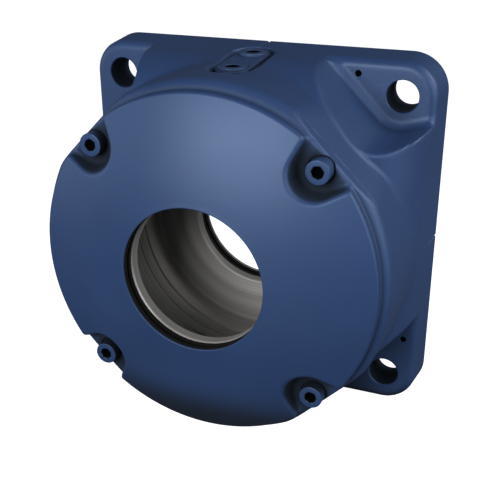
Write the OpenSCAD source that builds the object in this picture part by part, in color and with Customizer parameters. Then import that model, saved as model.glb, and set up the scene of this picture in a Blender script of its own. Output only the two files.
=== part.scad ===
/* [Mounting flange] */
// Width and height of the square flange at its back face
flange_w = 213.2; // [208:0.1:230]
// Radius of the flange's four corners at its back face
corner_r = 21.25; // [12:0.25:30]
// Height of the bolt pads above the back face
pad_h = 23; // [18:0.5:28]
// Rounding of the pads' outer edge
pad_edge_r = 4.5; // [2:0.5:6]
// Distance of the mounting bolts from the flange's sides
bolt_in = 20.6; // [18:0.1:24]
// Bore of the mounting bolt holes
bolt_hole_d = 18; // [11:0.5:22]
// Draft of the cast sides, in degrees
draft = 5; // [2:0.5:6]

/* [Shouldered block] */
// Depth at which the block's sides begin to roll over to the front
shoulder_start = 30; // [26:0.5:34]
// Radius of the roll-over
shoulder_r = 40; // [34:0.5:44]

/* [Drum] */
// Step from the flange's sides in to the round drum
drum_in = 3.8; // [3.2:0.1:6]
// Distance from the back face to the joint with the cover
drum_l = 88; // [80:0.5:96]

/* [Bolt pockets] */
// Fillet between a pocket's wall and the pad
pocket_fillet = 5; // [2:0.5:7]
// Depth by which the fillet's arc starts under the pad, for a visible line at its foot
fillet_sink = 0.2; // [0.1:0.05:0.4]
// Angle by which the short wall leans away from its side of the flange
pocket_flare = 15; // [5:1:25]
// Extra length of the top left pocket
top_run = 9; // [2:0.5:14]
// Extra length of the bottom right pocket
low_run = 17.5; // [4:0.5:20]
// Depth of the drum's four flats, at the joint with the cover
flat_in = 4.3; // [2.5:0.1:5]
// Step from those flats out to the pockets' long walls
flat_step = 0.4; // [0.3:0.1:1]

/* [Bearing seat] */
// Bore of the seat for the bearing's outer ring
seat_d = 140; // [130:0.5:144]
// Depth of the rear wall, from the back face to the seat's shoulder
rear_wall = 16.5; // [14:0.5:22]
// Length of the seat
seat_l = 36.5; // [28:0.5:44]
// Step by which the cover's register is larger than the seat, on the radius
register_step = 1.5; // [0.8:0.1:3]
// Place of the grease groove, from the seat's shoulder
groove_at = 21; // [14:0.5:24]
// Width of the grease groove
groove_w = 6; // [3:0.5:8]
// Depth of the grease groove
groove_deep = 1.2; // [0.6:0.1:2.5]
// Distance of the snap line from the seat's front edge
line_at = 8.5; // [5:0.5:10]

/* [Shaft openings] */
// Bore through the rear wall
rear_bore_d = 83; // [76:0.5:90]
// Bore through the cover
front_bore_d = 81.6; // [76:0.5:90]
// Width of the seal grooves
seal_w = 8; // [5:0.5:9]
// Depth of the seal grooves below the bore
seal_deep = 7; // [4:0.5:9]
// Depth of the channel between a seal's two lips
seal_channel = 1.3; // [0.8:0.1:2]
// Distance of the rear seal groove from the back face
rear_lip = 2.5; // [1.5:0.5:4]
// Distance of the front seal groove from the cover's mouth
front_lip = 1.2; // [1:0.2:3]

/* [Cover] */
// Radius of the cover's domed face
dome_r = 290; // [250:5:400]
// Height of the dome's crown above the joint with the drum
dome_h = 28.4; // [26:0.2:34]
// Step from the drum's outside in to the crisp edge of the cover's disc
disc_in = 4.8; // [3:0.1:7]
// Rounding of the cover's rim, beside the joint
rim_r = 6.3; // [5:0.1:8]
// Rounding of the face's edge
face_edge_r = 1.2; // [0.6:0.1:2]
// Wall of the dome
cover_wall = 9; // [7:0.5:12]
// Depth to which the cover's spigot enters the housing
spigot_l = 9; // [7:0.5:12]
// Wall of the spigot
spigot_wall = 8; // [6:0.5:10]
// Wall round the cover's bore, outside the seal
hub_wall = 6; // [4:0.5:9]
// Length of the hub behind the seal
hub_back = 7; // [4:0.5:10]

/* [Cover screws] */
// Distance of the screws from the drum's outside
screw_in = 12; // [11:0.1:13]
// Thread diameter
screw_d = 8; // [6:0.5:10]
// Length under the head
screw_l = 25; // [20:1:30]
// Head diameter
head_d = 13; // [11:0.5:15]
// Head height
head_h = 8; // [6:0.5:9]
// Width across flats of the hexagon socket
hex_af = 6; // [5:0.5:8]
// Cover's thickness under a screw's head
clamp_t = 5; // [4:0.5:7]
// Distance round the screw at which the scallop's wall stands at its foot
scallop_r = 12; // [10:0.5:13]
// Lean of the scallop's wall, in degrees
scallop_lean = 14; // [6:1:20]
// Angle by which the scallop opens towards the rim, each side
scallop_flare = 23; // [8:1:28]
// Rise of the scallop's floor above the head's seat
scallop_rise = 1.5; // [0.5:0.25:3]

/* [Lubrication boss] */
// Distance of the rear lubrication hole from the back face
lube_rear = 25.4; // [24:0.2:30]
// Distance of the front lubrication hole from the back face
lube_front = 55; // [50:0.5:62]
// Height of the rear ring's top above the drum
rear_rise = 2.2; // [1.2:0.1:4]
// Fall from the rear ring's top to the front ring's
boss_fall = 2.4; // [0.5:0.1:3]
// Bore of the lubrication holes
lube_d = 8.4; // [6:0.2:10]
// Outside diameter of the raised ring round each hole
lube_ring_d = 16.6; // [14:0.2:18]
// Height of the raised rings
lube_ring_h = 1; // [0.8:0.1:2]
// Width of the plateau that carries the rings
boss_w = 18.8; // [18.2:0.2:24]
// Width of the trough round the plateau
trough_w = 3; // [1.5:0.5:5]
// Depth of the trough below the plateau
trough_deep = 2; // [1:0.2:3]

/* [Small marks] */
// Width of the alignment notches at the middle of each side
notch_w = 2; // [1:0.1:3]
// Length of the notches, from the back face
notch_l = 15; // [10:0.5:20]
// Diameter of the drilled dimple on each pad
dimple_d = 3.6; // [2:0.1:5]
// Depth of the dimple
dimple_deep = 2; // [1:0.1:4]
// Distance of the dimple from its nearest side of the flange
dimple_in = 9.9; // [8:0.1:12]
// Distance of the dimple from the bolt hole, along that side
dimple_off = 25.2; // [20:0.1:28]

/* [Fits] */
// Clearance of the spigot in its register, on the radius
register_fit = 0.05; // [0.02:0.01:0.1]
// Clearance round each screw's thread, on the radius
thread_fit = 0.05; // [0.02:0.01:0.1]
// Clearance of a screw in the cover, on the radius
screw_fit = 0.5; // [0.3:0.05:0.8]
// Clearance of a seal in its groove, on each side
seal_fit = 0.1; // [0.05:0.05:0.2]
// Section of the cover's sealing ring
ring_d = 2.5; // [2:0.1:3]
// Clearance of the sealing ring in its groove
ring_fit = 0.05; // [0.02:0.01:0.1]

/* [Hidden] */
$fn = 128;
paint = "#3f5a8c";
rubber = "#161616";
past = 1;

half_w = flange_w / 2;
corner_at = half_w - corner_r;
bolt_at = half_w - bolt_in;
dimple_at = bolt_at - dimple_off;
diagonal = 45;
block_base = pad_h - pad_edge_r - 3;
shoulder_at = half_w - (shoulder_r + shoulder_start * sin(draft)) / cos(draft);
shoulder_top = shoulder_start + shoulder_r;

drum_r = half_w - drum_in;
flat_at = drum_r - flat_in;
lean = tan(draft);
pocket_r = bolt_at * sqrt(2) - flat_at - flat_step - (drum_l - pad_h) * lean;
pocket_reach = flange_w / 2;
pocket_runs = [0, top_run, 0, low_run];

seat_r = seat_d / 2;
seat_end = rear_wall + seat_l;
register_r = seat_r + register_step;

front_r = front_bore_d / 2;
rear_r = rear_bore_d / 2;
disc_r = drum_r - disc_in;
dome_top = drum_l + dome_h;
dome_at = dome_top - dome_r;
mouth = dome_at + sqrt(pow(dome_r, 2) - pow(front_r, 2));
front_seal_at = mouth - front_lip - seal_w;
spigot_r = register_r - register_fit;
ring_at = drum_l - spigot_l / 2;
ring_r = register_r - ring_fit - ring_d / 2;

screw_at = (drum_r - screw_in) * sin(diagonal);
head_seat = drum_l + clamp_t;
scallop_floor = head_seat + scallop_rise;
rear_top = drum_r + rear_rise;
front_top = rear_top - boss_fall;
boss_tilt = atan(boss_fall / (lube_front - lube_rear));

// All shapes are drawn facing up, with z as the distance from the back face;
// this turns them to face the front, with the back face in the plane y = 0
module facing() {
    rotate([90, 0, 0]) children();
}

// Puts a shape at each of the four corners, turned in quarter turns from the top right
module each_corner(at) {
    for (turn = [0:3])
        rotate([0, 0, 90 * turn]) translate([at, at, 0]) children();
}

// Section extruded along the x axis, its own x becoming y and its own y the depth
module along_x(length) {
    rotate([90, 0, 90]) linear_extrude(length, center = true) children();
}

module along_y(length) {
    rotate([90, 0, 0]) linear_extrude(length, center = true) children();
}

module both_sides() {
    children();
    mirror([1, 0]) children();
}

// Half section of the flange: a drafted side and a rounded edge, half wide at the back
module flange_section(half) {
    edge_x = half - (pad_edge_r + (pad_h - pad_edge_r) * sin(draft)) / cos(draft);
    edge_z = pad_h - pad_edge_r;
    polygon([[0, 0], [half, 0],
             [edge_x + pad_edge_r * cos(draft), edge_z + pad_edge_r * sin(draft)],
             [edge_x, edge_z], [edge_x, pad_h], [0, pad_h]]);
    translate([edge_x, edge_z]) circle(pad_edge_r);
}

module flange() {
    along_x(2 * corner_at) both_sides() flange_section(half_w);
    along_y(2 * corner_at) both_sides() flange_section(half_w);
    each_corner(corner_at) rotate_extrude() flange_section(corner_r);
}

// Half section of the block: the drafted side, then the roll-over to the front
module block_section() {
    intersection() {
        union() {
            polygon([[0, 0], [half_w, 0],
                     [shoulder_at + shoulder_r * cos(draft),
                      shoulder_start + shoulder_r * sin(draft)],
                     [shoulder_at, shoulder_start], [shoulder_at, shoulder_top],
                     [0, shoulder_top]]);
            translate([shoulder_at, shoulder_start]) circle(shoulder_r);
        }
        translate([0, block_base]) square([half_w, shoulder_top]);
    }
}

module block() {
    intersection() {
        along_x(flange_w) both_sides() block_section();
        along_y(flange_w) both_sides() block_section();
    }
}

// A recess with a round end about the z axis that opens between two directions.
// Its child is the recess's half section, as distance from the axis and height.
module open_recess(from, to, reach, floor_z, height) {
    rotate_extrude() children();
    for (side = [from, to])
        rotate([0, 0, side]) rotate([90, 0, 90]) linear_extrude(reach) both_sides() children();
    middle = (from + to) / 2;
    translate([0, 0, floor_z]) linear_extrude(height)
        polygon([[0, 0], reach * [cos(from), sin(from)],
                 1.5 * reach * [cos(middle), sin(middle)], reach * [cos(to), sin(to)]]);
}

// Half section of a bolt pocket: flat pad, fillet and a drafted wall, pocket_r wide at the pad
module pocket_section() {
    bend_r = pocket_r + pocket_fillet * (lean - 1 / cos(draft));
    bend_z = pad_h + pocket_fillet - fillet_sink;
    step = (90 - draft) / 8;
    fillet = [for (k = [0:8])
        [bend_r + pocket_fillet * sin(k * step), bend_z - pocket_fillet * cos(k * step)]];
    polygon(concat([[0, block_base - past], [bend_r, block_base - past]], fillet,
                   [[pocket_r + (drum_l - pad_h) * lean, drum_l], [0, drum_l]]));
}

// Drafted flats across the four corners of the drum and the cover
module corner_flats() {
    out = 2 * drum_r;
    rise = dome_top + past;
    for (turn = [0:3])
        rotate([0, 0, diagonal + 90 * turn]) along_y(flange_w)
            polygon([[flat_at + drum_l * lean, 0], [out, 0], [out, rise],
                     [flat_at + (drum_l - rise) * lean, rise]]);
}

// Four pockets, each with its long wall square to the diagonal
module bolt_pockets() {
    for (turn = [0:3])
        rotate([0, 0, 90 * turn])
        translate([bolt_at, bolt_at, 0])
        rotate([0, 0, -diagonal])
        translate([pocket_runs[turn], 0, 0])
        rotate([0, 0, diagonal])
        open_recess(pocket_flare, diagonal + 90, pocket_reach, block_base - past, shoulder_top)
            pocket_section();
}

// Upright post with round ends over both lubrication holes, from the seat's height up
module boss_post(width) {
    for (at = [lube_rear, lube_front])
        translate([0, seat_r, at]) rotate([-90, 0, 0]) cylinder(h = drum_r, d = width);
    translate([-width / 2, seat_r, lube_rear]) cube([width, drum_r, lube_front - lube_rear]);
}

// Everything above a plane that falls to the front, this far below the rings' tops
module above_boss(drop) {
    translate([0, rear_top - drop, lube_rear]) rotate([boss_tilt, 0, 0])
        translate([-half_w, 0, -half_w]) cube(flange_w);
}

module lube_boss() {
    difference() {
        boss_post(boss_w);
        above_boss(lube_ring_h);
    }
    for (ring = [[lube_rear, rear_top], [lube_front, front_top]])
        translate([0, seat_r, ring[0]]) rotate([-90, 0, 0])
            cylinder(h = ring[1] - seat_r, d = lube_ring_d);
}

// The trough that frees the plateau from the drum and the block
module boss_trough() {
    intersection() {
        boss_post(boss_w + 2 * trough_w);
        above_boss(lube_ring_h + trough_deep);
    }
}

// Seat, cover register and the turned rings between them, as one cutter
module bearing_space() {
    translate([0, 0, rear_wall]) cylinder(h = drum_l, r = seat_r);
    translate([0, 0, seat_end]) cylinder(h = drum_l, r = register_r);
    translate([0, 0, rear_wall + groove_at - groove_w / 2])
        cylinder(h = groove_w, r = seat_r + groove_deep);
    translate([0, 0, seat_end - line_at]) cylinder(h = groove_deep, r = seat_r + groove_deep);
    translate([0, 0, drum_l - past]) cylinder(h = 2 * past, r1 = register_r, r2 = register_r + 2 * past);
}

module seal_groove(at, bore_r) {
    translate([0, 0, at]) cylinder(h = seal_w, r = bore_r + seal_deep);
}

// The grey iron casting: square flange, shouldered block, drum and boss in one piece
module housing_body() {
    color(paint) facing() difference() {
        union() {
            difference() {
                union() {
                    flange();
                    difference() {
                        block();
                        bolt_pockets();
                    }
                    difference() {
                        cylinder(h = drum_l, r = drum_r);
                        corner_flats();
                    }
                }
                boss_trough();
            }
            lube_boss();
        }
        bearing_space();
        translate([0, 0, -past]) cylinder(h = drum_l, r = rear_r);
        translate([0, 0, -past]) cylinder(h = 2 * past, r1 = rear_r + 2 * past, r2 = rear_r);
        translate([0, 0, rear_wall - past]) cylinder(h = 2 * past, r1 = rear_r, r2 = rear_r + 2 * past);
        seal_groove(rear_lip, rear_r);
        each_corner(bolt_at) translate([0, 0, -past]) cylinder(h = pad_h + 2 * past, d = bolt_hole_d);
        each_corner(screw_at) translate([0, 0, drum_l - screw_l])
            cylinder(h = screw_l + past, r = screw_d / 2 + thread_fit);
        for (at = [lube_rear, lube_front])
            translate([0, seat_r - past, at]) rotate([-90, 0, 0]) cylinder(h = drum_r, d = lube_d);
        for (turn = [0:3]) rotate([0, 0, 90 * turn]) {
            translate([dimple_at, half_w - dimple_in, pad_h - dimple_deep])
                cylinder(h = dimple_deep + past, d = dimple_d);
            translate([half_w, 0, -past]) rotate([0, -draft, 0]) rotate([0, 0, 45])
                cube([notch_w / sqrt(2), notch_w / sqrt(2), 2 * (notch_l + past)], center = true);
        }
    }
}

// Half section of the cover's outside: rim, disc and domed face
module cover_outline() {
    edge_x = disc_r - face_edge_r;
    edge_z = dome_at + sqrt(pow(dome_r - face_edge_r, 2) - pow(edge_x, 2));
    intersection() {
        translate([drum_r - rim_r, drum_l]) circle(rim_r);
        translate([0, drum_l]) square([drum_r, rim_r]);
    }
    translate([0, drum_l]) square([drum_r - rim_r, rim_r]);
    translate([0, drum_l]) square([disc_r, edge_z - drum_l]);
    translate([edge_x, edge_z]) circle(face_edge_r);
    intersection() {
        translate([0, dome_at]) circle(dome_r, $fn = 720);
        translate([0, drum_l]) square([edge_x, dome_top - drum_l]);
    }
    translate([0, drum_l - spigot_l]) square([spigot_r, spigot_l]);
}

// Half section of what is hollow in the cover
module cover_hollow() {
    hub_r = front_r + seal_deep + hub_wall;
    hub_z = front_seal_at - hub_back;
    difference() {
        intersection() {
            translate([0, dome_at]) circle(dome_r - cover_wall, $fn = 720);
            translate([0, drum_l - spigot_l - past]) square([spigot_r - spigot_wall, dome_top]);
        }
        translate([0, hub_z]) square([hub_r, dome_top]);
    }
    translate([0, drum_l - spigot_l - past]) square([front_r, dome_top]);
    translate([ring_r - ring_d / 2 - ring_fit, ring_at - ring_d / 2 - ring_fit])
        square([ring_d, ring_d + 2 * ring_fit]);
}

// Half section of a scallop: flat floor and a leaning wall round the screw
module scallop_section() {
    height = dome_top - scallop_floor;
    polygon([[0, scallop_floor], [scallop_r, scallop_floor],
             [scallop_r + height * tan(scallop_lean), dome_top], [0, dome_top]]);
}

// The domed cover, with a scallop and a spot-faced hole for each screw
module front_cover() {
    color(paint) facing() difference() {
        rotate_extrude() difference() {
            cover_outline();
            cover_hollow();
        }
        seal_groove(front_seal_at, front_r);
        corner_flats();
        each_corner(screw_at) {
            open_recess(diagonal - scallop_flare, diagonal + scallop_flare, half_w, scallop_floor,
                        dome_top)
                scallop_section();
            translate([0, 0, head_seat]) cylinder(h = dome_top, r = head_d / 2 + 2 * screw_fit);
            translate([0, 0, drum_l - past]) cylinder(h = dome_top, r = screw_d / 2 + screw_fit);
        }
    }
}

// Round rubber ring in the spigot's groove
module cover_sealing_ring() {
    color(rubber) facing() translate([0, 0, ring_at])
        rotate_extrude() translate([ring_r, 0]) circle(d = ring_d, $fn = 48);
}

// Rubber seal, flush with its bore, with two low lips round its inside
module shaft_seal(at, bore_r) {
    lip = seal_w / 4;
    inner = bore_r + seal_fit;
    color(rubber) facing() translate([0, 0, at]) difference() {
        translate([0, 0, seal_fit]) cylinder(h = seal_w - 2 * seal_fit, r = bore_r + seal_deep - seal_fit);
        translate([0, 0, -past]) cylinder(h = seal_w + 2 * past, r = inner);
        translate([0, 0, (seal_w - lip) / 2]) cylinder(h = lip, r = inner + seal_channel);
    }
}

// Socket head screw with a chamfered head and a hexagon socket
module cover_screw(turn) {
    chamfer = head_d / 20;
    color(paint) facing() rotate([0, 0, 90 * turn]) translate([screw_at, screw_at, head_seat])
        difference() {
            union() {
                translate([0, 0, -screw_l]) cylinder(h = screw_l + past, d = screw_d);
                cylinder(h = head_h - chamfer, d = head_d);
                translate([0, 0, head_h - chamfer])
                    cylinder(h = chamfer, d1 = head_d, d2 = head_d - 2 * chamfer);
            }
            translate([0, 0, head_h / 2]) cylinder(h = head_h, d = hex_af / cos(30), $fn = 6);
        }
}

housing_body();
front_cover();
cover_sealing_ring();
shaft_seal(front_seal_at, front_r);  // front_shaft_seal
shaft_seal(rear_lip, rear_r);  // rear_shaft_seal
cover_screw(0);  // cover_screw_top_right
cover_screw(1);  // cover_screw_top_left
cover_screw(2);  // cover_screw_bottom_left
cover_screw(3);  // cover_screw_bottom_right
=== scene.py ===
# Flanged bearing housing: the looks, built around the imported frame
import math

import bmesh
import bpy
import numpy as np
from mathutils import Matrix, Vector


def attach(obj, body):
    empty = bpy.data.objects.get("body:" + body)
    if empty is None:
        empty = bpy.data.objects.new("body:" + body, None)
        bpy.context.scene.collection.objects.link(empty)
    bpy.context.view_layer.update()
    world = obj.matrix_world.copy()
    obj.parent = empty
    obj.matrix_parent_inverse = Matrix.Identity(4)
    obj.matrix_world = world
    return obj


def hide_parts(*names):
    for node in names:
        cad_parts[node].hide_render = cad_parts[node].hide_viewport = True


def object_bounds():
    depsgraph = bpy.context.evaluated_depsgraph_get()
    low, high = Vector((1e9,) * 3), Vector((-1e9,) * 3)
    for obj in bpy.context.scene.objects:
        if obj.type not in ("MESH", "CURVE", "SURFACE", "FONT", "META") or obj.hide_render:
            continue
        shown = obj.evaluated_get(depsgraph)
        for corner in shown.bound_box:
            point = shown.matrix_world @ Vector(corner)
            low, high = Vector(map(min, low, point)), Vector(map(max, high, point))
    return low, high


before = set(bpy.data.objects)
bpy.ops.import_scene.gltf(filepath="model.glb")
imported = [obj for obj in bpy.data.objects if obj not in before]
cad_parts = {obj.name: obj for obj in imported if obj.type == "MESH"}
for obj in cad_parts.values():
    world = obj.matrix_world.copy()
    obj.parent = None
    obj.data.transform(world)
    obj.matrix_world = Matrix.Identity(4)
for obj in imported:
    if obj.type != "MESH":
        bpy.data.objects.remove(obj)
cadBounds = [[float(value) for value in corner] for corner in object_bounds()]
print("frame loaded:", len(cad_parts), "nodes")

# Shapes are worked out in millimetres as (x, y, d): x to the right, y up and d out of the
# wall towards the viewer. toFrame turns them to the frame's own axes, in metres.
metre = 0.001
draft = math.radians(5)
lean = math.tan(draft)


def toFrame(points):
    return np.stack([points[..., 0], -points[..., 2], points[..., 1]], -1) * metre


# Camera, at the place and with the lens worked out from the photograph
cameraPlace = dict(at=(0.192034, -0.499989, 0.201964), azimuth=23.315, elevation=24.849,
                   roll=-0.513, lens=64.6, shift=(0.0304, 0.0543))


# The camera looks along forward, and roll turns it about that line
def addCamera(place):
    data = bpy.data.cameras.new("camera")
    data.lens = place["lens"]
    data.sensor_width = 36
    data.shift_x, data.shift_y = place["shift"]
    data.clip_start = 0.05
    camera = bpy.data.objects.new("camera", data)
    azimuth, elevation, roll = (math.radians(place[key]) for key in ("azimuth", "elevation", "roll"))
    forward = Vector((-math.sin(azimuth) * math.cos(elevation),
                      math.cos(azimuth) * math.cos(elevation), -math.sin(elevation)))
    level = Vector((math.cos(azimuth), math.sin(azimuth), 0))
    upright = level.cross(forward)
    right = level * math.cos(roll) + upright * math.sin(roll)
    turn = Matrix((right, right.cross(forward), -forward)).transposed()
    camera.matrix_world = Matrix.Translation(place["at"]) @ turn.to_4x4()
    bpy.context.scene.collection.objects.link(camera)
    bpy.context.scene.camera = camera


addCamera(cameraPlace)
print("camera placed")


# Distance fields, negative inside. A rounded cut or join has its edge on a circle.
def roundCut(a, b, radius):
    inner = np.hypot(np.maximum(a + radius, 0), np.maximum(b + radius, 0))
    return np.minimum(np.maximum(a, b), -radius) + inner


def roundJoin(a, b, radius):
    return -roundCut(-a, -b, radius)


# Runs from 0 to 1 between low and high, level at either end
def smoothStep(value, low, high):
    t = np.clip((value - low) / (high - low), 0, 1)
    return t * t * (3 - 2 * t)


# A recess with a round end about a corner's bolt or screw, open between two directions.
# The result is the distance outside its upright wall, which stands radius away all round.
# Each corner has its own run, by which the recess is longer along the flat.
def recessWall(x, y, at, runs, clockwise, counter, radius):
    nearest = np.full(np.broadcast(x, y, radius).shape, np.inf)
    for turn, run in enumerate(runs):
        c, s = round(math.cos(turn * math.pi / 2)), round(math.sin(turn * math.pi / 2))
        slide = run * math.sqrt(0.5)
        u = c * x + s * y - at - slide
        v = -s * x + c * y - at + slide
        outA = u * math.cos(counter + math.pi / 2) + v * math.sin(counter + math.pi / 2)
        outB = u * math.cos(clockwise - math.pi / 2) + v * math.sin(clockwise - math.pi / 2)
        backA = u * math.cos(counter) + v * math.sin(counter)
        backB = u * math.cos(clockwise) + v * math.sin(clockwise)
        rounded = (backA < 0) & (backB < 0)
        wall = np.where(rounded, np.hypot(u, v), np.maximum(outA, outB)) - radius
        nearest = np.minimum(nearest, wall)
    return nearest


# The housing casting
casting = dict(
    halfWidth=106.6, cornerRadius=21.25, padHeight=23, padEdge=4.5, boltAt=86, boltHole=18,
    boltHoleEdges=(0.4, 0.5), shoulderStart=30, shoulderRadius=40, drumRadius=102.8, drumLength=88,
    flatAt=98.5, pocketFrom=math.radians(15), pocketTo=math.radians(135), pocketRuns=(0, 9, 0, 17.5),
    pocketFillet=5, lipRadius=1.6, lipFade=3, joinRadius=2, flatEdge=1.2, frontEdge=0.3, backEdge=0.5,
    rearBore=41.5, boreChamfer=1, turnedEdge=0.2, sealDeep=7, sealWidth=8, rearLip=2.5, rearWall=16.5,
    seat=70, seatEnd=53, register=71.5, grooveAt=37.5, grooveWidth=6, grooveDeep=1.2, lineAt=44.5,
    innerRing=90, backRing=60, core=(80, 10))
castingMesh = dict(around=600, along=110, spacing=5, bend=math.radians(5.5))


# The casting's outside. A square block with round corners narrows by its draft and rolls over on
# four arcs, the pockets are cut from it, and it is joined to the drum with its four flats.
def castingShape(x, y, d):
    k = casting
    cornerAt = k["halfWidth"] - k["cornerRadius"]
    dx, dy = np.abs(x) - cornerAt, np.abs(y) - cornerAt
    square = np.hypot(np.maximum(dx, 0), np.maximum(dy, 0)) + np.minimum(np.maximum(dx, dy), 0)
    block = (square - k["cornerRadius"] + d * lean) * math.cos(draft)
    startOut = (k["shoulderRadius"] + k["shoulderStart"] * math.sin(draft)) / math.cos(draft)
    shoulderAt = k["halfWidth"] - startOut
    up = d - k["shoulderStart"]
    for side in (np.abs(x) - shoulderAt, np.abs(y) - shoulderAt):
        bend = np.where(side > 0, np.hypot(side, up), up)
        flank = (side + up * lean) * math.cos(draft)
        block = np.maximum(block, np.where(up > side * lean, bend, flank) - k["shoulderRadius"])
    flat = k["flatAt"] + (k["drumLength"] - d) * lean
    foot = k["boltAt"] * math.sqrt(2) - k["flatAt"] - (k["drumLength"] - k["padHeight"]) * lean
    wall = recessWall(x, y, k["boltAt"], k["pocketRuns"], k["pocketFrom"], k["pocketTo"],
                      foot + (d - k["padHeight"]) * lean)
    pocket = roundCut(k["padHeight"] - d, wall * math.cos(draft), k["pocketFillet"])
    fade = smoothStep(d, k["padHeight"], k["padHeight"] + k["lipFade"])
    lip = k["padEdge"] + (k["lipRadius"] - k["padEdge"]) * fade
    block = roundCut(block, -pocket, lip)
    across = (np.abs(x) + np.abs(y)) * math.sqrt(0.5) - flat
    drum = roundCut(np.hypot(x, y) - k["drumRadius"], across * math.cos(draft), k["flatEdge"])
    return roundJoin(block, drum, k["joinRadius"])


# The boss of the two lubrication holes on top of the casting, with a trough round it
boss = dict(rear=25.4, front=55, rearTop=105, frontTop=102.6, width=18.8, ring=16.6, ringHeight=1,
            ringEdge=0.2, bore=8.4, holeEdge=0.35, troughWidth=3, troughDeep=2, troughEdge=1.2, edge=0.4,
            base=90, around=96)


# Height of the boss at d: it falls evenly from the rear hole's ring to the front one's
def bossTop(d, drop):
    fall = (boss["rearTop"] - boss["frontTop"]) / (boss["front"] - boss["rear"])
    return boss["rearTop"] - drop - (d - boss["rear"]) * fall


# The trough beside the boss: a long round-ended slot that stops at an even depth under its top
def troughShape(x, y, d):
    beside = np.hypot(x, d - np.clip(d, boss["rear"], boss["front"])) - boss["width"] / 2
    under = bossTop(d, boss["ringHeight"] + boss["troughDeep"]) - y
    return roundCut(beside - boss["troughWidth"], under, boss["troughEdge"])


# The casting with the trough cut in, ended by the joint in front and the mounting face behind
def housingShape(x, y, d):
    outside = roundCut(castingShape(x, y, d), -troughShape(x, y, d), boss["troughEdge"])
    outside = roundCut(outside, d - casting["drumLength"], casting["frontEdge"])
    return roundCut(outside, -d, casting["backEdge"])


# Values smoothed down their columns, which run on from end to start, by a bell-shaped window
def blurred(values, width):
    window = np.hanning(width)
    span = width // 2
    padded = np.concatenate([values[-span:], values, values[:span]])
    return np.lib.stride_tricks.sliding_window_view(padded, width, axis=0) @ (window / window.sum())


tracing = dict(rays=700, halvings=24, reach=90.0, blur=15)


# The outline of a shape's half section at each angle. Rays from a point inside it are halved
# until they end at its surface. The points along the outline share out a running total of its
# length over the spacing and its turn over the bend, so they stand closer where it bends. The
# result is (along, around, 3).
def traceSection(shape, angles, centre, start, end, mesh):
    def cast(rays):
        low = np.zeros(rays.shape)
        high = np.full(rays.shape, tracing["reach"])
        for _ in range(tracing["halvings"]):
            middle = (low + high) / 2
            r = centre[0] + middle * np.cos(rays)
            inside = shape(r * np.cos(angles), r * np.sin(angles), centre[1] + middle * np.sin(rays)) < 0
            low = np.where(inside, middle, low)
            high = np.where(inside, high, middle)
        return centre[0] + low * np.cos(rays), centre[1] + low * np.sin(rays)

    first = math.atan2(start[1] - centre[1], start[0] - centre[0])
    last = math.atan2(end[1] - centre[1], end[0] - centre[0])
    rays = np.linspace(first, last, tracing["rays"])[:, None] + 0 * angles
    r, d = cast(rays)
    step = np.hypot(np.diff(r, axis=0), np.diff(d, axis=0))
    heading = np.unwrap(np.arctan2(np.diff(d, axis=0), np.diff(r, axis=0)), axis=0)
    weight = step / mesh["spacing"] + np.abs(np.gradient(heading, axis=0)) / mesh["bend"]
    weight = blurred(blurred(weight, tracing["blur"]).T, tracing["blur"]).T
    total = np.concatenate([np.zeros((1, len(angles))), np.cumsum(weight, 0)])
    # each column's totals run from 0 to 1, and set 2 apart they make one rising row
    apart = 2.0 * np.arange(len(angles))[:, None]
    known = apart + (total / total[-1]).T
    wanted = apart + np.linspace(0, 1, mesh["along"])
    chosen = np.interp(wanted.ravel(), known.ravel(), rays.T.ravel()).reshape(wanted.shape)
    r, d = cast(chosen.T)
    return np.stack([r * np.cos(angles), r * np.sin(angles), d], -1)


# Angles round the axis that stand closer where density, a function of the angle, is high: they
# share out its running total evenly
def spreadAngles(count, density, fineSteps=7200):
    fine = np.linspace(0, 2 * math.pi, fineSteps + 1)
    total = np.concatenate([[0], np.cumsum(density((fine[1:] + fine[:-1]) / 2))])
    return np.interp(np.arange(count) / count * total[-1], total, fine)


# A half section of (r, d) points turned about the shaft axis, as r cos, r sin and d
def revolve(profile, angles):
    profile = np.array(profile, float)
    r = profile[:, 0][:, None]
    d = profile[:, 1][:, None] + 0 * angles[None, :]
    return np.stack([r * np.cos(angles), r * np.sin(angles), d], -1)


# A section's corners, each cut by a small chamfer so that its edges catch the light. A cut takes
# no more than mostShare of either side.
def chamfered(corners, size, mostShare=0.4):
    corners = np.array(corners, float)
    out = [corners[0]]
    for before, here, after in zip(corners[:-2], corners[1:-1], corners[2:]):
        toBefore, toAfter = before - here, after - here
        cut = min(size, np.hypot(*toBefore) * mostShare, np.hypot(*toAfter) * mostShare)
        out.append(here + toBefore / np.hypot(*toBefore) * cut)
        out.append(here + toAfter / np.hypot(*toAfter) * cut)
    out.append(corners[-1])
    return np.array(out)


# Four-sided faces between the neighbours of a grid, which may close on itself either way
def gridFaces(rows, columns, closedRows, closedColumns):
    rowIndex = np.arange(rows if closedRows else rows - 1)
    columnIndex = np.arange(columns if closedColumns else columns - 1)
    a, b = np.meshgrid(rowIndex, columnIndex, indexing="ij")
    nextA, nextB = (a + 1) % rows, (b + 1) % columns
    corners = [a * columns + b, a * columns + nextB, nextA * columns + nextB, nextA * columns + b]
    return np.stack(corners, -1).reshape(-1, 4)


# A mesh object with its faces turned outwards. points are (n, 3) in millimetres.
def makeMesh(name, points, faces):
    verts = toFrame(points)
    a, b, c = verts[faces[:, 0]], verts[faces[:, 1]], verts[faces[:, 2]]
    volume = np.einsum("ij,ij->i", a, np.cross(b, c)).sum()
    if faces.shape[1] == 4:
        volume += np.einsum("ij,ij->i", a, np.cross(c, verts[faces[:, 3]])).sum()
    if volume < 0:
        faces = faces[:, ::-1]
    mesh = bpy.data.meshes.new(name)
    mesh.from_pydata(verts.tolist(), [], faces.tolist())
    mesh.update()
    item = bpy.data.objects.new(name, mesh)
    bpy.context.scene.collection.objects.link(item)
    return item


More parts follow.
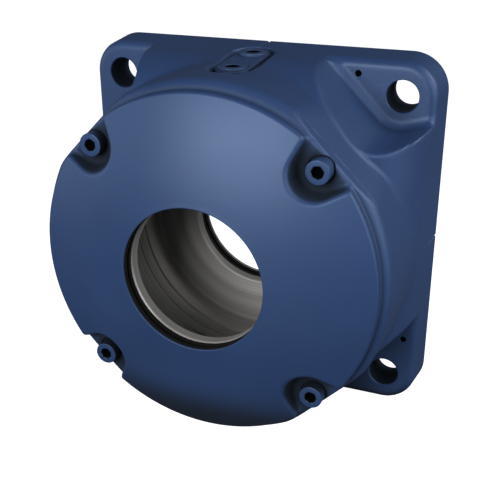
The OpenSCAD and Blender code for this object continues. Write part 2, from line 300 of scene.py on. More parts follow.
# A grid that closes on itself both ways, such as a revolved ring.
def closedGrid(name, points):
    rows, columns = points.shape[:2]
    return makeMesh(name, points.reshape(-1, 3), gridFaces(rows, columns, True, True))


# Triangles of a grid closed round its columns, with a pole past its first row and one past its
# last. The two poles come after the grid's own points.
def cappedFaces(rows, columns):
    ring = np.arange(columns)
    follow = (ring + 1) % columns
    pole = np.full(columns, rows * columns)
    top = (rows - 1) * columns
    quads = gridFaces(rows, columns, False, True)
    return np.concatenate([quads[:, [0, 1, 2]], quads[:, [0, 2, 3]], np.stack([follow, ring, pole], -1),
                           np.stack([top + ring, top + follow, pole + 1], -1)])


# A closed body of revolution: a profile of (r, d) points from axis to axis, turned in even steps.
# It stands at at = (x, y) along d, or upright at at = (x, d) along y.
def lathe(name, profile, around, at=(0, 0), upright=False):
    angles = np.arange(around) / around * 2 * math.pi
    profile = np.array(profile, float)
    middle = revolve(profile[1:-1], angles)
    poles = np.array([[0, 0, profile[0, 1]], [0, 0, profile[-1, 1]]])
    points = np.concatenate([middle.reshape(-1, 3), poles])
    if upright:
        points = np.stack([points[:, 0], points[:, 2], -points[:, 1]], -1) + [at[0], 0, at[1]]
    else:
        points = points + [at[0], at[1], 0]
    return makeMesh(name, points, cappedFaces(*middle.shape[:2]))


# A round bevel as (inset, drop) pairs on a quarter circle, from the side up to the top
def roundBevel(size, steps=5):
    return [(size * (1 - math.cos(a)), size * (1 - math.sin(a)))
            for a in np.linspace(0, math.pi / 2, steps)]


# Several objects made one, under the first one's name
def join(items):
    first = items[0]
    with bpy.context.temp_override(active_object=first, object=first, selected_objects=items,
                                   selected_editable_objects=items):
        bpy.ops.object.join()
    return first


# Cuts a tool out of item, or unites them, and bakes the result into item's mesh.
def combine(item, tool, operation):
    modifier = item.modifiers.new("combine", "BOOLEAN")
    modifier.operation = operation
    modifier.solver = "MANIFOLD"
    modifier.object = tool
    view = bpy.context.evaluated_depsgraph_get()
    result = bpy.data.meshes.new_from_object(item.evaluated_get(view))
    item.modifiers.clear()
    old = item.data
    item.data = result
    bpy.data.meshes.remove(old)
    bpy.data.objects.remove(tool)


# Smooth shading, with edges sharper than the angle in degrees left sharp
def smooth(item, angle):
    item.data.shade_smooth()
    item.data.set_sharp_from_angle(angle=math.radians(angle))


# Names a finished piece, shades it smooth, gives it its materials, hides the frame's node that it replaces
# and hangs it under the root body
def finishPiece(item, name, node, materials, angle=35):
    item.name = name
    item.data.name = name
    smooth(item, angle)
    item.data.materials.clear()
    for material in materials:
        item.data.materials.append(material)
    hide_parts(node)
    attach(item, "root")
    print(name, "has", len(item.data.polygons), "faces")


# Materials. deepest is the share of its colour that the paint keeps under the painted shade of the most
# closed-in recess.
deepest = 0.03


# A named socket on a node group
def addSocket(group, direction, name, kind, value=None, low=None, high=None):
    made = group.interface.new_socket(name=name, in_out=direction, socket_type=kind)
    if value is not None:
        made.default_value = value
    if low is not None:
        made.min_value, made.max_value = low, high


# A node with its inputs set, each to a value or linked from another node's socket
def addNode(tree, kind, inputs=None, **settings):
    made = tree.nodes.new(kind)
    for name, value in settings.items():
        setattr(made, name, value)
    for name, value in (inputs or {}).items():
        if isinstance(value, bpy.types.NodeSocket):
            tree.links.new(value, made.inputs[name])
        else:
            made.inputs[name].default_value = value
    return made


# Satin paint over a sand casting: soft orange peel, the sand's fine grain, faint cloudy changes
# of colour and sheen, a painted highlight of lighter colour along convex edges, and painted shade
# in the recesses: darker, duller paint where the ambient occlusion finds them closed in.
def castPaintGroup():
    group = bpy.data.node_groups.new("cast paint", "ShaderNodeTree")
    addSocket(group, "INPUT", "Color", "NodeSocketColor", (0.05, 0.1, 0.25, 1))
    addSocket(group, "INPUT", "Edge Highlight", "NodeSocketColor", (0.1, 0.17, 0.35, 1))
    addSocket(group, "INPUT", "Grain", "NodeSocketFloat", 1.0)
    addSocket(group, "INPUT", "Roughness", "NodeSocketFloat", 0.45)
    # The recess sockets set the painted shade: how far the occlusion looks, the openness at which the colour
    # is darkest and the openness at which the darkening ends
    addSocket(group, "INPUT", "Recess Depth", "NodeSocketFloat", 0.03)
    addSocket(group, "INPUT", "Recess Dark", "NodeSocketFloat", 0.35)
    addSocket(group, "INPUT", "Recess Light", "NodeSocketFloat", 0.75)
    addSocket(group, "OUTPUT", "Color", "NodeSocketColor")
    addSocket(group, "OUTPUT", "Roughness", "NodeSocketFloat")
    addSocket(group, "OUTPUT", "Height", "NodeSocketFloat")
    inside = addNode(group, "NodeGroupInput").outputs
    place = addNode(group, "ShaderNodeTexCoord").outputs["Object"]
    cloud = addNode(group, "ShaderNodeTexNoise", {"Vector": place, "Scale": 14.0, "Detail": 4.0})
    peel = addNode(group, "ShaderNodeTexNoise", {"Vector": place, "Scale": 420.0, "Detail": 2.0})
    sand = addNode(group, "ShaderNodeTexNoise", {"Vector": place, "Scale": 1500.0, "Detail": 3.0})
    geometry = addNode(group, "ShaderNodeNewGeometry")
    # Painted highlight: convex edges, found by their pointiness, are blended towards the lighter edge colour
    edge = addNode(group, "ShaderNodeMapRange", {"Value": geometry.outputs["Pointiness"],
                   "From Min": 0.53, "From Max": 0.65, "To Min": 0.0, "To Max": 0.35})
    tone = addNode(group, "ShaderNodeMapRange", {"Value": cloud.outputs["Fac"],
                   "From Min": 0.3, "From Max": 0.7, "To Min": 0.92, "To Max": 1.08})
    tinted = addNode(group, "ShaderNodeVectorMath", {0: inside["Color"], "Scale": tone.outputs["Result"]},
                     operation="SCALE")
    # sockets 6 and 7 of the mix node are its two colours
    blendColor = addNode(group, "ShaderNodeMix", {0: edge.outputs["Result"], 6: tinted.outputs[0],
                         7: inside["Edge Highlight"]}, data_type="RGBA")
    # Painted shade: the colour is darkened by the ambient occlusion, down to deepest of it in the most
    # closed-in recesses
    openness = addNode(group, "ShaderNodeAmbientOcclusion", {"Distance": inside["Recess Depth"]}, samples=12)
    shade = addNode(group, "ShaderNodeMapRange", {"Value": openness.outputs["AO"],
                    "From Min": inside["Recess Dark"], "From Max": inside["Recess Light"],
                    "To Min": deepest, "To Max": 1.0})
    shaded = addNode(group, "ShaderNodeVectorMath", {0: blendColor.outputs[2],
                     "Scale": shade.outputs["Result"]}, operation="SCALE")
    sheen = addNode(group, "ShaderNodeMapRange", {"Value": cloud.outputs["Fac"],
                    "From Min": 0.3, "From Max": 0.7, "To Min": -0.04, "To Max": 0.04})
    dull = addNode(group, "ShaderNodeMapRange", {"Value": shade.outputs["Result"],
                   "From Min": deepest, "From Max": 1.0, "To Min": 0.4, "To Max": 0.0})
    uneven = addNode(group, "ShaderNodeMath", {0: dull.outputs["Result"], 1: sheen.outputs["Result"]},
                     operation="ADD")
    rough = addNode(group, "ShaderNodeMath", {0: inside["Roughness"], 1: uneven.outputs[0]},
                    operation="ADD")
    fine = addNode(group, "ShaderNodeMath", {0: sand.outputs["Fac"], 1: 0.35}, operation="MULTIPLY")
    height = addNode(group, "ShaderNodeMath", {0: peel.outputs["Fac"], 1: fine.outputs[0]}, operation="ADD")
    scaled = addNode(group, "ShaderNodeMath", {0: height.outputs[0], 1: inside["Grain"]},
                     operation="MULTIPLY")
    addNode(group, "NodeGroupOutput", {"Color": shaded.outputs[0], "Roughness": rough.outputs[0],
                                       "Height": scaled.outputs[0]})
    return group


# Bare turned iron: fine rings round the shaft axis in colour, sheen and height.
def turnedMetalGroup():
    group = bpy.data.node_groups.new("turned metal", "ShaderNodeTree")
    addSocket(group, "INPUT", "Color", "NodeSocketColor", (0.3, 0.3, 0.3, 1))
    addSocket(group, "INPUT", "Roughness", "NodeSocketFloat", 0.35)
    addSocket(group, "OUTPUT", "Color", "NodeSocketColor")
    addSocket(group, "OUTPUT", "Roughness", "NodeSocketFloat")
    addSocket(group, "OUTPUT", "Height", "NodeSocketFloat")
    inside = addNode(group, "NodeGroupInput").outputs
    place = addNode(group, "ShaderNodeTexCoord").outputs["Object"]
    parts = addNode(group, "ShaderNodeSeparateXYZ", {"Vector": place}).outputs
    flat = addNode(group, "ShaderNodeCombineXYZ", {"X": parts["X"], "Z": parts["Z"]})
    radius = addNode(group, "ShaderNodeVectorMath", {0: flat.outputs[0]}, operation="LENGTH")
    ring = addNode(group, "ShaderNodeCombineXYZ", {"X": radius.outputs["Value"], "Y": parts["Y"]})
    lines = addNode(group, "ShaderNodeTexNoise", {"Vector": ring.outputs[0], "Scale": 1400.0,
                    "Detail": 3.0, "Roughness": 0.7})
    bands = addNode(group, "ShaderNodeTexNoise", {"Vector": ring.outputs[0], "Scale": 160.0,
                    "Detail": 2.0})
    patch = addNode(group, "ShaderNodeTexNoise", {"Vector": place, "Scale": 30.0, "Detail": 4.0})
    both = addNode(group, "ShaderNodeMath", {0: lines.outputs["Fac"], 1: bands.outputs["Fac"]},
                   operation="ADD")
    tone = addNode(group, "ShaderNodeMapRange", {"Value": both.outputs[0],
                   "From Min": 0.7, "From Max": 1.3, "To Min": 0.72, "To Max": 1.28})
    tinted = addNode(group, "ShaderNodeVectorMath", {0: inside["Color"], "Scale": tone.outputs["Result"]},
                     operation="SCALE")
    sheen = addNode(group, "ShaderNodeMapRange", {"Value": patch.outputs["Fac"],
                    "From Min": 0.3, "From Max": 0.7, "To Min": -0.08, "To Max": 0.08})
    rough = addNode(group, "ShaderNodeMath", {0: inside["Roughness"], 1: sheen.outputs["Result"]},
                    operation="ADD")
    addNode(group, "NodeGroupOutput", {"Color": tinted.outputs[0], "Roughness": rough.outputs[0],
                                       "Height": lines.outputs["Fac"]})
    return group


castPaint = castPaintGroup()
turnedMetal = turnedMetalGroup()


# A material whose colour, roughness and bump come from one of the groups above. surface holds the
# shader's own constant sockets.
def dressed(name, group, values, bumpStrength, bumpDistance, **surface):
    material = bpy.data.materials.new(name)
    material.use_nodes = True
    tree = material.node_tree
    shader = next(item for item in tree.nodes if item.type == "BSDF_PRINCIPLED")
    effect = addNode(tree, "ShaderNodeGroup", node_tree=group)
    for key, value in values.items():
        effect.inputs[key].default_value = value
    tree.links.new(effect.outputs["Color"], shader.inputs["Base Color"])
    tree.links.new(effect.outputs["Roughness"], shader.inputs["Roughness"])
    bump = addNode(tree, "ShaderNodeBump", {"Height": effect.outputs["Height"],
                   "Strength": bumpStrength, "Distance": bumpDistance})
    tree.links.new(bump.outputs["Normal"], shader.inputs["Normal"])
    for key, value in surface.items():
        shader.inputs[key].default_value = value
    return material


# The paint's colour, and the lighter colour of its painted highlight along convex edges
paintColor = (0.022, 0.050, 0.138, 1)
paintEdgeHighlight = (0.04, 0.08, 0.18, 1)
paintGloss = {"Specular Tint": (0.55, 0.72, 1.0, 1), "Specular IOR Level": 0.75}
castingPaint = dressed("casting paint", castPaint,
                       {"Color": paintColor, "Edge Highlight": paintEdgeHighlight, "Grain": 1.0, "Roughness": 0.48},
                       bumpStrength=0.22, bumpDistance=0.0004, **paintGloss)
# The cover's and the screws' paints have the painted shade set to their own reach and darkness; the cover's
# darkens its scallops most
coverPaint = dressed("cover paint", castPaint,
                     {"Color": paintColor, "Edge Highlight": paintEdgeHighlight, "Grain": 0.6, "Roughness": 0.44,
                      "Recess Depth": 0.045, "Recess Dark": 0.64, "Recess Light": 0.96},
                     bumpStrength=0.15, bumpDistance=0.0003, **paintGloss)
screwPaint = dressed("screw paint", castPaint,
                     {"Color": paintColor, "Edge Highlight": paintEdgeHighlight, "Grain": 0.4, "Roughness": 0.4,
                      "Recess Depth": 0.012, "Recess Dark": 0.4, "Recess Light": 0.85},
                     bumpStrength=0.12, bumpDistance=0.0002, **paintGloss)
boredIron = dressed("bored iron", turnedMetal, {"Color": (0.33, 0.321, 0.312, 1), "Roughness": 0.6},
                    bumpStrength=0.2, bumpDistance=0.00015, Metallic=0.3)
# Painted highlight: a lighter, more metallic copy of the bored iron, for the bore chamfers that catch the
# light
highlightIron = dressed("highlight iron", turnedMetal, {"Color": (0.6, 0.585, 0.57, 1), "Roughness": 0.42},
                     bumpStrength=0.15, bumpDistance=0.0001, Metallic=0.6)
# Painted shade: a near black paint for the screws' hexagon sockets, the lubrication holes and the dimples,
# where they lie in shadow
shadeBlack = dressed("shade black", castPaint,
                      {"Color": (0.004, 0.004, 0.005, 1), "Edge Highlight": (0.008, 0.008, 0.01, 1),
                       "Grain": 0.3, "Roughness": 0.7},
                      bumpStrength=0.1, bumpDistance=0.0001, **{"Specular IOR Level": 0.1})
# Black rubber, which also takes the painted shade and the painted edge highlight of the cast paint group
rubber = dressed("seal rubber", castPaint,
                 {"Color": (0.012, 0.011, 0.011, 1), "Edge Highlight": (0.02, 0.018, 0.017, 1),
                  "Grain": 0.5, "Roughness": 0.6},
                 bumpStrength=0.1, bumpDistance=0.0002, **{"Specular IOR Level": 0.2})
print("materials made")


# How much closer the columns of points stand across a pocket, the boss and a scallop, and the
# angles between which that fades
closer = dict(pocket=2.6, pocketSpan=(math.radians(24), math.radians(30)),
              boss=2.2, bossSpan=(math.radians(7.5), math.radians(9)),
              scallop=3, scallopSpan=(math.radians(17), math.radians(22)))


# The casting's columns: even, with more across the pockets at the corners and across the boss at
# the top. fold is the angle from the nearest corner.
def castingDensity(angle):
    fold = np.abs((angle % (math.pi / 2)) - math.pi / 4)
    pockets = closer["pocket"] * (1 - smoothStep(fold, *closer["pocketSpan"]))
    top = closer["boss"] * (1 - smoothStep(np.abs(angle - math.pi / 2), *closer["bossSpan"]))
    return 1 + pockets + top


# The casting's outside is traced from its distance field, and its inside is a turned section. The
# boss and its rings are united with it, and the holes are cut from it.
def buildHousing():
    k = casting
    angles = spreadAngles(castingMesh["around"], castingDensity)
    outside = traceSection(housingShape, angles, k["core"], (k["backRing"], 0),
                           (k["innerRing"], k["drumLength"]), castingMesh)
    edge = k["boreChamfer"]
    seal, sealTop = k["rearBore"] + k["sealDeep"], k["rearLip"] + k["sealWidth"]
    groove, line = k["seat"] + k["grooveDeep"], k["lineAt"] + k["grooveDeep"]
    grooveTop, grooveLow = (k["grooveAt"] + side * k["grooveWidth"] / 2 for side in (1, -1))
    corners = [(k["innerRing"], k["drumLength"]), (k["register"] + edge, k["drumLength"]),
               (k["register"], k["drumLength"] - edge), (k["register"], k["seatEnd"]),
               (k["seat"], k["seatEnd"]), (k["seat"], line), (groove, line), (groove, k["lineAt"]),
               (k["seat"], k["lineAt"]), (k["seat"], grooveTop), (groove, grooveTop),
               (groove, grooveLow), (k["seat"], grooveLow), (k["seat"], k["rearWall"]),
               (k["rearBore"] + edge, k["rearWall"]), (k["rearBore"], k["rearWall"] - edge),
               (k["rearBore"], sealTop), (seal, sealTop), (seal, k["rearLip"]),
               (k["rearBore"], k["rearLip"]), (k["rearBore"], edge), (k["rearBore"] + edge, 0),
               (k["backRing"], 0)]
    inside = revolve(chamfered(corners, k["turnedEdge"]), angles)
    housing = closedGrid("housing_casting", np.concatenate([outside, inside[1:-1]]))
    combine(housing, bossPlateau(), "UNION")
    rings = [lathe("ring", ringProfile(boss[end + "Top"]), sides["ring"], (0, boss[end]), True)
             for end in ("rear", "front")]
    combine(housing, join(rings), "UNION")
    combine(housing, join(housingCutters()), "DIFFERENCE")
    return housing


# The plateau under both lubrication holes: a long round-ended post, as rows of points that go
# from its foot's middle out, up its side, over a round bevel and in across its sloping top
def bossPlateau():
    k = boss
    turn = np.arange(k["around"]) / k["around"] * 2 * math.pi
    middle = np.where(np.sin(turn) > 0, k["front"], k["rear"])
    halfWidth = k["width"] / 2
    foot = np.full(len(turn), float(k["base"]))
    rows = [np.stack([0 * turn, foot, middle], -1),
            np.stack([halfWidth * np.cos(turn), foot, middle + halfWidth * np.sin(turn)], -1)]
    for inset, drop in roundBevel(k["edge"]) + [(halfWidth, 0)]:
        radius = halfWidth - inset
        d = middle + radius * np.sin(turn)
        rows.append(np.stack([radius * np.cos(turn), bossTop(d, k["ringHeight"] + drop), d], -1))
    points = np.array(rows)
    item = makeMesh("plateau", points.reshape(-1, 3), gridFaces(*points.shape[:2], False, True))
    weld(item)
    return item


# Merges points closer than apart, in metres, and turns the faces outwards
def weld(item, apart=1e-6):
    shape = bmesh.new()
    shape.from_mesh(item.data)
    bmesh.ops.remove_doubles(shape, verts=shape.verts, dist=apart)
    bmesh.ops.dissolve_degenerate(shape, edges=shape.edges, dist=apart)
    bmesh.ops.recalc_face_normals(shape, faces=shape.faces)
    shape.to_mesh(item.data)
    shape.free()


# Half section of a ring on the boss, with a small bevel in two steps
def ringProfile(top):
    r, edge = boss["ring"] / 2, boss["ringEdge"]
    soft = 0.3 * edge
    return [(0, boss["base"]), (r, boss["base"]), (r, top - edge), (r - soft, top - soft),
            (r - edge, top), (0, top)]


# How far a cutter stands past the surface that it cuts, and how many sides each round form has
past = 1
sides = dict(ring=72, boltHole=72, dimple=24, screwHole=32, lubricationHole=48, screwWay=64)


# A round cutter with a chamfer at its mouth
def holeCutter(name, radius, low, high, chamfer, around, at, upright=False):
    profile = [(0, low), (radius, low), (radius, high - chamfer),
               (radius + chamfer + past, high + past), (0, high + past)]
    return lathe(name, profile, around, at, upright)


# The flange's notches, the dimples on its pads and the cover's screws
notch = dict(width=2, length=15)
dimple = dict(radius=1.8, deep=2, tip=0.6, edge=0.2, fromSide=9.9, fromMiddle=60.8)
screwInset = 12
# Among the screw's sizes is the reach of the painted shade in its socket, as a share of the hexagon's width
screw = dict(at=(casting["drumRadius"] - screwInset) * math.sqrt(0.5), radius=4, length=25, headRadius=6.5,
             headHeight=8, edge=0.55, hexAcross=6, socketDeep=4, socketEdge=(0.45, 0.35), drillTip=1.2,
             shadeTo=0.56, clamp=5, holeGap=0.5, threadGap=0.05, holeEdge=0.4, tip=0.8, seatEdge=0.3,
             around=96)


# The point (a, b) at the top right, and its three copies in quarter turns.
def eachCorner(a, b):
    return [(a, b), (-b, a), (-a, -b), (b, -a)]


# Bolt holes, dimples, the screws' holes, the lubrication holes and the notches
def housingCutters():
    k = casting
    cutters = []
    r, top = k["boltHole"] / 2, k["padHeight"]
    back, front = k["boltHoleEdges"]
    profile = [(0, -past), (r + back + past, -past), (r, back), (r, top - front),
               (r + front + past, top + past), (0, top + past)]
    for at in eachCorner(k["boltAt"], k["boltAt"]):
        cutters.append(lathe("bolt hole", profile, sides["boltHole"], at))
    r, edge = dimple["radius"], dimple["edge"]
    profile = [(0, top - dimple["deep"] - r * dimple["tip"]), (r, top - dimple["deep"]), (r, top - edge),
               (r + edge + past, top + past), (0, top + past)]
    for at in eachCorner(dimple["fromMiddle"], k["halfWidth"] - dimple["fromSide"]):
        cutters.append(lathe("dimple", profile, sides["dimple"], at))
    for at in eachCorner(screw["at"], screw["at"]):
        cutters.append(holeCutter("screw hole", screw["radius"] + screw["threadGap"],
                                  k["drumLength"] - screw["length"], k["drumLength"],
                                  screw["holeEdge"], sides["screwHole"], at))
    for end in ("rear", "front"):
        cutters.append(holeCutter("lubrication hole", boss["bore"] / 2, k["seat"] - past,
                                  boss[end + "Top"], boss["holeEdge"], sides["lubricationHole"],
                                  (0, boss[end]), True))
    cutters.extend(notchCutter(turn) for turn in range(4))
    return cutters


# A v-shaped groove up the middle of one side of the flange, turned to its side in quarters
def notchCutter(turn):
    half = notch["width"] / 2
    across = np.array([-half - past, 0, half + past])
    height = np.array([past, -half, past])
    rows = [np.stack([across, casting["halfWidth"] - d * lean + height, np.full(3, d)], -1)
            for d in (-float(past), float(notch["length"]))]
    x, y, d = np.concatenate(rows).T
    c, s = math.cos(turn * math.pi / 2), math.sin(turn * math.pi / 2)
    faces = np.array([[0, 1, 2], [5, 4, 3], [0, 3, 4], [0, 4, 1], [1, 4, 5], [1, 5, 2], [2, 5, 3],
                      [2, 3, 0]])
    return makeMesh("notch", np.stack([c * x - s * y, s * x + c * y, d], -1), faces)


# Middles of an object's faces, as (x, y, d) in millimetres.
def facePlaces(item):
    middle = np.zeros(len(item.data.polygons) * 3)
    item.data.polygons.foreach_get("center", middle)
    middle = middle.reshape(-1, 3) / metre
    return np.stack([middle[:, 0], middle[:, 2], -middle[:, 1]], -1)


# Which of the housing's materials each face has: paint, bored iron, a painted highlight of lighter
# iron on the rear bore's chamfer, or painted shade, near black, inside the lubrication holes and
# dimples
def housingFinishes(item, near=0.02):
    k = casting
    x, y, d = facePlaces(item).T
    r = np.hypot(x, y)
    edge = k["boreChamfer"] + k["turnedEdge"]
    bored = (d < near) | (r < k["register"] + edge)
    chamfer = (r < k["rearBore"] + k["boreChamfer"]) & (d > k["rearWall"] - edge) & (d < k["rearWall"])
    holes = np.zeros(len(x), bool)
    for end in ("rear", "front"):
        away = np.hypot(x, d - boss[end])
        under = boss[end + "Top"] - boss["holeEdge"] - near
        holes |= (away < boss["bore"] / 2 + near) & (y > 0) & (y < under)
    for at in eachCorner(dimple["fromMiddle"], k["halfWidth"] - dimple["fromSide"]):
        away = np.hypot(x - at[0], y - at[1])
        holes |= (away < dimple["radius"] + near) & (d < k["padHeight"] - dimple["edge"] - near)
    finish = bored.astype(np.int32) + chamfer + 3 * (holes & ~bored)
    item.data.polygons.foreach_set("material_index", finish.astype(np.int32))


housing = buildHousing()
finishPiece(housing, "housing_casting", "housing_body",
            [castingPaint, boredIron, highlightIron, shadeBlack])
housingFinishes(housing)


# The cover: a dome with a rim, four scallops and flats in line with the drum's
cover = dict(
    domeRadius=290, domeTop=116.4, wall=9, disc=98, rim=6.3, faceEdge=1.2, footFillet=0.8,
    scallopRadius=12, scallopLean=math.radians(14), scallopFlare=math.radians(23), scallopFloor=94.5,
    floorFillet=2, lipRadius=1.8, flatEdge=1.0, jointEdge=0.4, bore=40.8, mouthEdge=0.3, boreChamfer=1.2,
    turnedEdge=0.3, sealDeep=7, sealWidth=8, lip=1.2, hubWall=6, hubBack=7, spigot=71.45, spigotWall=8,
    spigotLength=9, ringGroove=(82.2, 84.8, 68.9), screwWayTop=125, startRing=75, endRing=41.6,
    core=(72, 91))
coverMesh = dict(around=640, along=118, spacing=3, bend=math.radians(5.5))


# The cover's outside. A disc under the dome's sphere is joined to a rim of round section, flats in
# line with the drum's cut its corners, and the scallops are cut in.
def coverShape(x, y, d):
    k = cover
    r = np.hypot(x, y)
    joint = casting["drumLength"]
    dome = np.hypot(r, d - k["domeTop"] + k["domeRadius"]) - k["domeRadius"]
    disc = roundCut(r - k["disc"], dome, k["faceEdge"])
    rimAt = casting["drumRadius"] - k["rim"]
    rim = np.hypot(np.maximum(r - rimAt, 0), np.maximum(d - joint, 0)) - k["rim"]
    body = roundJoin(disc, rim, k["footFillet"])
    flat = casting["flatAt"] + (joint - d) * lean
    across = ((np.abs(x) + np.abs(y)) * math.sqrt(0.5) - flat) * math.cos(draft)
    body = roundCut(body, across, k["flatEdge"])
    slope = math.tan(k["scallopLean"])
    wall = recessWall(x, y, screw["at"], (0, 0, 0, 0), math.pi / 4 - k["scallopFlare"],
                      math.pi / 4 + k["scallopFlare"], k["scallopRadius"] + (d - k["scallopFloor"]) * slope)
    scallop = roundCut(k["scallopFloor"] - d, wall * math.cos(k["scallopLean"]), k["floorFillet"])
    body = roundCut(body, -scallop, k["lipRadius"])
    return roundCut(body, joint - d, k["jointEdge"])


# The cover's columns: even, with more across the scallops at the corners
def coverDensity(angle):
    fold = np.abs((angle % (math.pi / 2)) - math.pi / 4)
    return 1 + closer["scallop"] * (1 - smoothStep(fold, *closer["scallopSpan"]))


# Height of the dome's sphere at a radius from the shaft axis, on its outside or under its wall
def domeAt(radius, wall=0):
    centre = cover["domeTop"] - cover["domeRadius"]
    return centre + np.sqrt((cover["domeRadius"] - wall) ** 2 - radius ** 2)


# The cover's outside is traced from its distance field, and its inside is a turned section: the
# seal's groove, the hub, the hollow under the dome and the spigot with its ring's groove
def buildCover():
    k = cover
    angles = spreadAngles(coverMesh["around"], coverDensity)
    joint = casting["drumLength"]
    outside = traceSection(coverShape, angles, k["core"], (k["startRing"], joint),
                           (k["endRing"], domeAt(k["endRing"])), coverMesh)
    mouth = domeAt(k["bore"])
    front = mouth - k["lip"]
    back = front - k["sealWidth"]
    seal = k["bore"] + k["sealDeep"]
    hub, hubEnd = seal + k["hubWall"], back - k["hubBack"]
    inner, spigotEnd = k["spigot"] - k["spigotWall"], joint - k["spigotLength"]
    low, high, groove = k["ringGroove"]
    corners = [(k["endRing"], domeAt(k["endRing"])), (k["bore"] + k["mouthEdge"], mouth),
               (k["bore"], mouth - k["mouthEdge"]), (k["bore"], front), (seal, front), (seal, back),
               (k["bore"] + k["boreChamfer"], back), (k["bore"], back - k["boreChamfer"]),
               (k["bore"], hubEnd), (hub, hubEnd), (hub, domeAt(hub, k["wall"])),
               (inner, domeAt(inner, k["wall"])), (inner, spigotEnd), (k["spigot"], spigotEnd),
               (k["spigot"], low), (groove, low), (groove, high), (k["spigot"], high),
               (k["spigot"], joint), (k["startRing"], joint)]
    inside = revolve(chamfered(corners, k["turnedEdge"]), angles)
    item = closedGrid("domed_cover", np.concatenate([outside, inside[1:-1]]))
    headSeat = joint + screw["clamp"]
    hole, spot = screw["radius"] + screw["holeGap"], screw["headRadius"] + 2 * screw["holeGap"]
    profile = [(0, joint - past), (hole, joint - past), (hole, headSeat), (spot, headSeat),
               (spot, k["screwWayTop"]), (0, k["screwWayTop"])]
    ways = [lathe("screw way", profile, sides["screwWay"], at)
            for at in eachCorner(screw["at"], screw["at"])]
    combine(item, join(ways), "DIFFERENCE")
    return item


# Bare turned metal, in the lighter iron of the painted highlight, on the cover's faces inside the
# spigot, past the bore's painted mouth and more than skin under the dome
def coverFinishes(item, skin=2, painted=1, slack=0.2):
    x, y, d = facePlaces(item).T
    r = np.hypot(x, y)
    mouthEnd = domeAt(cover["bore"]) - cover["lip"] - painted
    bare = (r < cover["spigot"] + slack) & (d < mouthEnd) & (d < domeAt(r) - skin)
    item.data.polygons.foreach_set("material_index", bare.astype(np.int32))


domedCover = buildCover()
finishPiece(domedCover, "domed_cover", "front_cover", [coverPaint, highlightIron])
coverFinishes(domedCover)


# Cover screws: a turned shank and head, whose rows of points go up the side, over a round bevel
# and down into a hexagon socket. The hexagon's radius is half its width over the cosine of the
# angle from the middle of its side.
def buildScrew(name, at, turn):
    k = screw
    angles = np.arange(k["around"]) / k["around"] * 2 * math.pi + turn
    hexagon = k["hexAcross"] / 2 / np.cos((angles - turn) % (math.pi / 3) - math.pi / 6)
    seatAt = casting["drumLength"] + k["clamp"]
    end, top = seatAt - k["length"], seatAt + k["headHeight"]
    side = [(k["radius"] - k["tip"], end), (k["radius"], end + k["tip"]), (k["radius"], seatAt),
            (k["headRadius"] - k["seatEdge"], seatAt), (k["headRadius"], seatAt + k["seatEdge"])]
    side += [(k["headRadius"] - inset, top - drop) for inset, drop in roundBevel(k["edge"])]
    rows = [np.stack([r + 0 * angles, d + 0 * angles], -1) for r, d in side]
    grow, sink = k["socketEdge"]
    for wider, d in ((grow, top), (0, top - sink), (0, top - k["socketDeep"])):
        rows.append(np.stack([hexagon + wider, d + 0 * angles], -1))
    r, d = np.moveaxis(np.array(rows), -1, 0)
    points = np.stack([r * np.cos(angles), r * np.sin(angles), d], -1)
    poles = np.array([[0, 0, end], [0, 0, top - k["socketDeep"] - k["drillTip"]]])
    flat = np.concatenate([points.reshape(-1, 3), poles]) + [at[0], at[1], 0]
    return makeMesh(name, flat, cappedFaces(*points.shape[:2]))


# Each screw came to rest with its hexagon turned differently, in radians
cornerNames = ("top_right", "top_left", "bottom_left", "bottom_right")
socketTurns = (0.15, 0.6, 0.35, 0.9)
for corner, at, turn in zip(cornerNames, eachCorner(screw["at"], screw["at"]), socketTurns):
    item = buildScrew("screw_" + corner, at, turn)
    finishPiece(item, "screw_" + corner, "cover_screw_" + corner,
                [screwPaint, shadeBlack], 30)
    # Painted shade: the faces down in the hexagon socket get the near black material
    x, y, d = facePlaces(item).T
    away = np.hypot(x - at[0], y - at[1])
    socketShade = (away < screw["hexAcross"] * screw["shadeTo"]) & (d > casting["drumLength"] + screw["clamp"])
    item.data.polygons.foreach_set("material_index", socketShade.astype(np.int32))


# Shaft seals
sealShape = dict(thick=6.8, gap=0.1, bevel=0.4, bevelHeight=0.5, lipFrom=1.1, channelHalf=0.9,
                 channelDeep=1.3, around=240)


# A turned rubber ring a gap clear of its groove, with two soft lips and a channel between them
def buildSeal(name, bore, low, high):
    k = sealShape
    inner, low, high = bore + k["gap"], low + k["gap"], high - k["gap"]
    middle, half, bottom = (low + high) / 2, k["channelHalf"], inner + k["channelDeep"]
    section = [(inner + k["thick"], low), (inner + k["thick"], high), (inner + k["bevel"], high),
               (inner, high - k["bevelHeight"]), (inner, middle + k["lipFrom"]), (bottom, middle + half),
               (bottom, middle - half), (inner, middle - k["lipFrom"]), (inner, low + k["bevelHeight"]),
               (inner + k["bevel"], low)]
    angles = np.arange(k["around"]) / k["around"] * 2 * math.pi
    return closedGrid(name, revolve(section, angles))


sealFront = domeAt(cover["bore"]) - cover["lip"]
rearLip = casting["rearLip"]
frontSeal = buildSeal("front_seal", cover["bore"], sealFront - cover["sealWidth"], sealFront)
rearSeal = buildSeal("rear_seal", casting["rearBore"], rearLip, rearLip + casting["sealWidth"])
finishPiece(frontSeal, "front_seal", "front_shaft_seal", [rubber], 30)
finishPiece(rearSeal, "rear_seal", "rear_shaft_seal", [rubber], 30)

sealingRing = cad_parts["cover_sealing_ring"]
sealingRing.data.materials.clear()
sealingRing.data.materials.append(rubber)
print("pieces made")


# Stage and light
stage = dict(size=8.0, color=(0.6, 0.6, 0.61, 1), roughness=0.9, glow=1.6,
             sky=(0.9, 0.95, 1.0, 1), skyStrength=0.08)


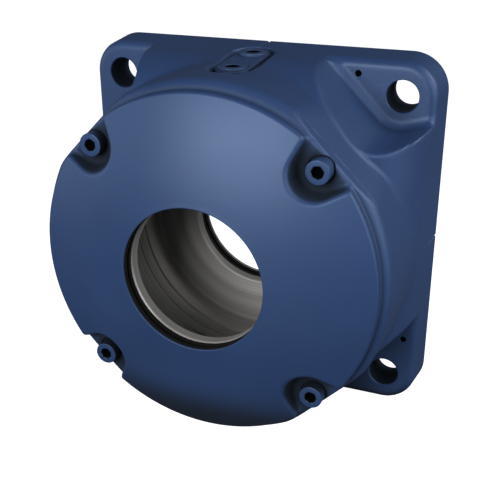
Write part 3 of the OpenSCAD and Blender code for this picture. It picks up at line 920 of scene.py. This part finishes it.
# A plain pale floor under the part. Its glow keeps it pale far from the lights.
def addStage():
    size, low = stage["size"], cadBounds[0][2]
    mesh = bpy.data.meshes.new("floor")
    mesh.from_pydata([(-size, -size, low), (size, -size, low), (size, size, low), (-size, size, low)],
                     [], [(0, 1, 2, 3)])
    floor = bpy.data.objects.new("floor", mesh)
    bpy.context.scene.collection.objects.link(floor)
    material = bpy.data.materials.new("pale floor")
    material.use_nodes = True
    shader = next(item for item in material.node_tree.nodes if item.type == "BSDF_PRINCIPLED")
    shader.inputs["Base Color"].default_value = stage["color"]
    shader.inputs["Roughness"].default_value = stage["roughness"]
    shader.inputs["Emission Color"].default_value = stage["color"]
    shader.inputs["Emission Strength"].default_value = stage["glow"]
    mesh.materials.append(material)
    floor.visible_glossy = False
    floor.visible_diffuse = False


# Soft lights. Azimuth is counted from straight in front of the cover to the right.
lights = dict(
    key=dict(azimuth=-8, elevation=20, distance=0.8, size=(0.45, 0.36), power=5.0),
    side=dict(azimuth=76, elevation=10, distance=1.0, size=(0.6, 0.6), power=2.4),
    low=dict(azimuth=0, elevation=-20, distance=1.0, size=(0.6, 0.6), power=0.5),
    behind=dict(azimuth=105, elevation=35, distance=1.0, size=(0.6, 0.6), power=4.6),
    fill=dict(azimuth=52, elevation=28, distance=1.0, size=(0.4, 0.4), power=1.6),
    left=dict(azimuth=-70, elevation=12, distance=1.2, size=(0.8, 0.8), power=2.8))


# A soft rectangular light at a distance from the part, turned to face aim
def addLight(name, azimuth, elevation, distance, size, power, aim=(0, -0.08, 0)):
    data = bpy.data.lights.new(name, "AREA")
    data.shape = "RECTANGLE"
    data.size, data.size_y = size
    data.energy = power
    lamp = bpy.data.objects.new(name, data)
    a, e = math.radians(azimuth), math.radians(elevation)
    out = Vector((math.sin(a) * math.cos(e), -math.cos(a) * math.cos(e), math.sin(e)))
    lamp.location = Vector(aim) + out * distance
    lamp.rotation_euler = out.to_track_quat("Z", "Y").to_euler()
    bpy.context.scene.collection.objects.link(lamp)


addStage()
for name, values in lights.items():
    addLight(name, **values)
world = bpy.data.worlds.new("studio")
world.use_nodes = True
background = world.node_tree.nodes["Background"].inputs
background["Color"].default_value = stage["sky"]
background["Strength"].default_value = stage["skyStrength"]
bpy.context.scene.world = world
bpy.context.scene.view_settings.view_transform = "Standard"
print("stage lit")
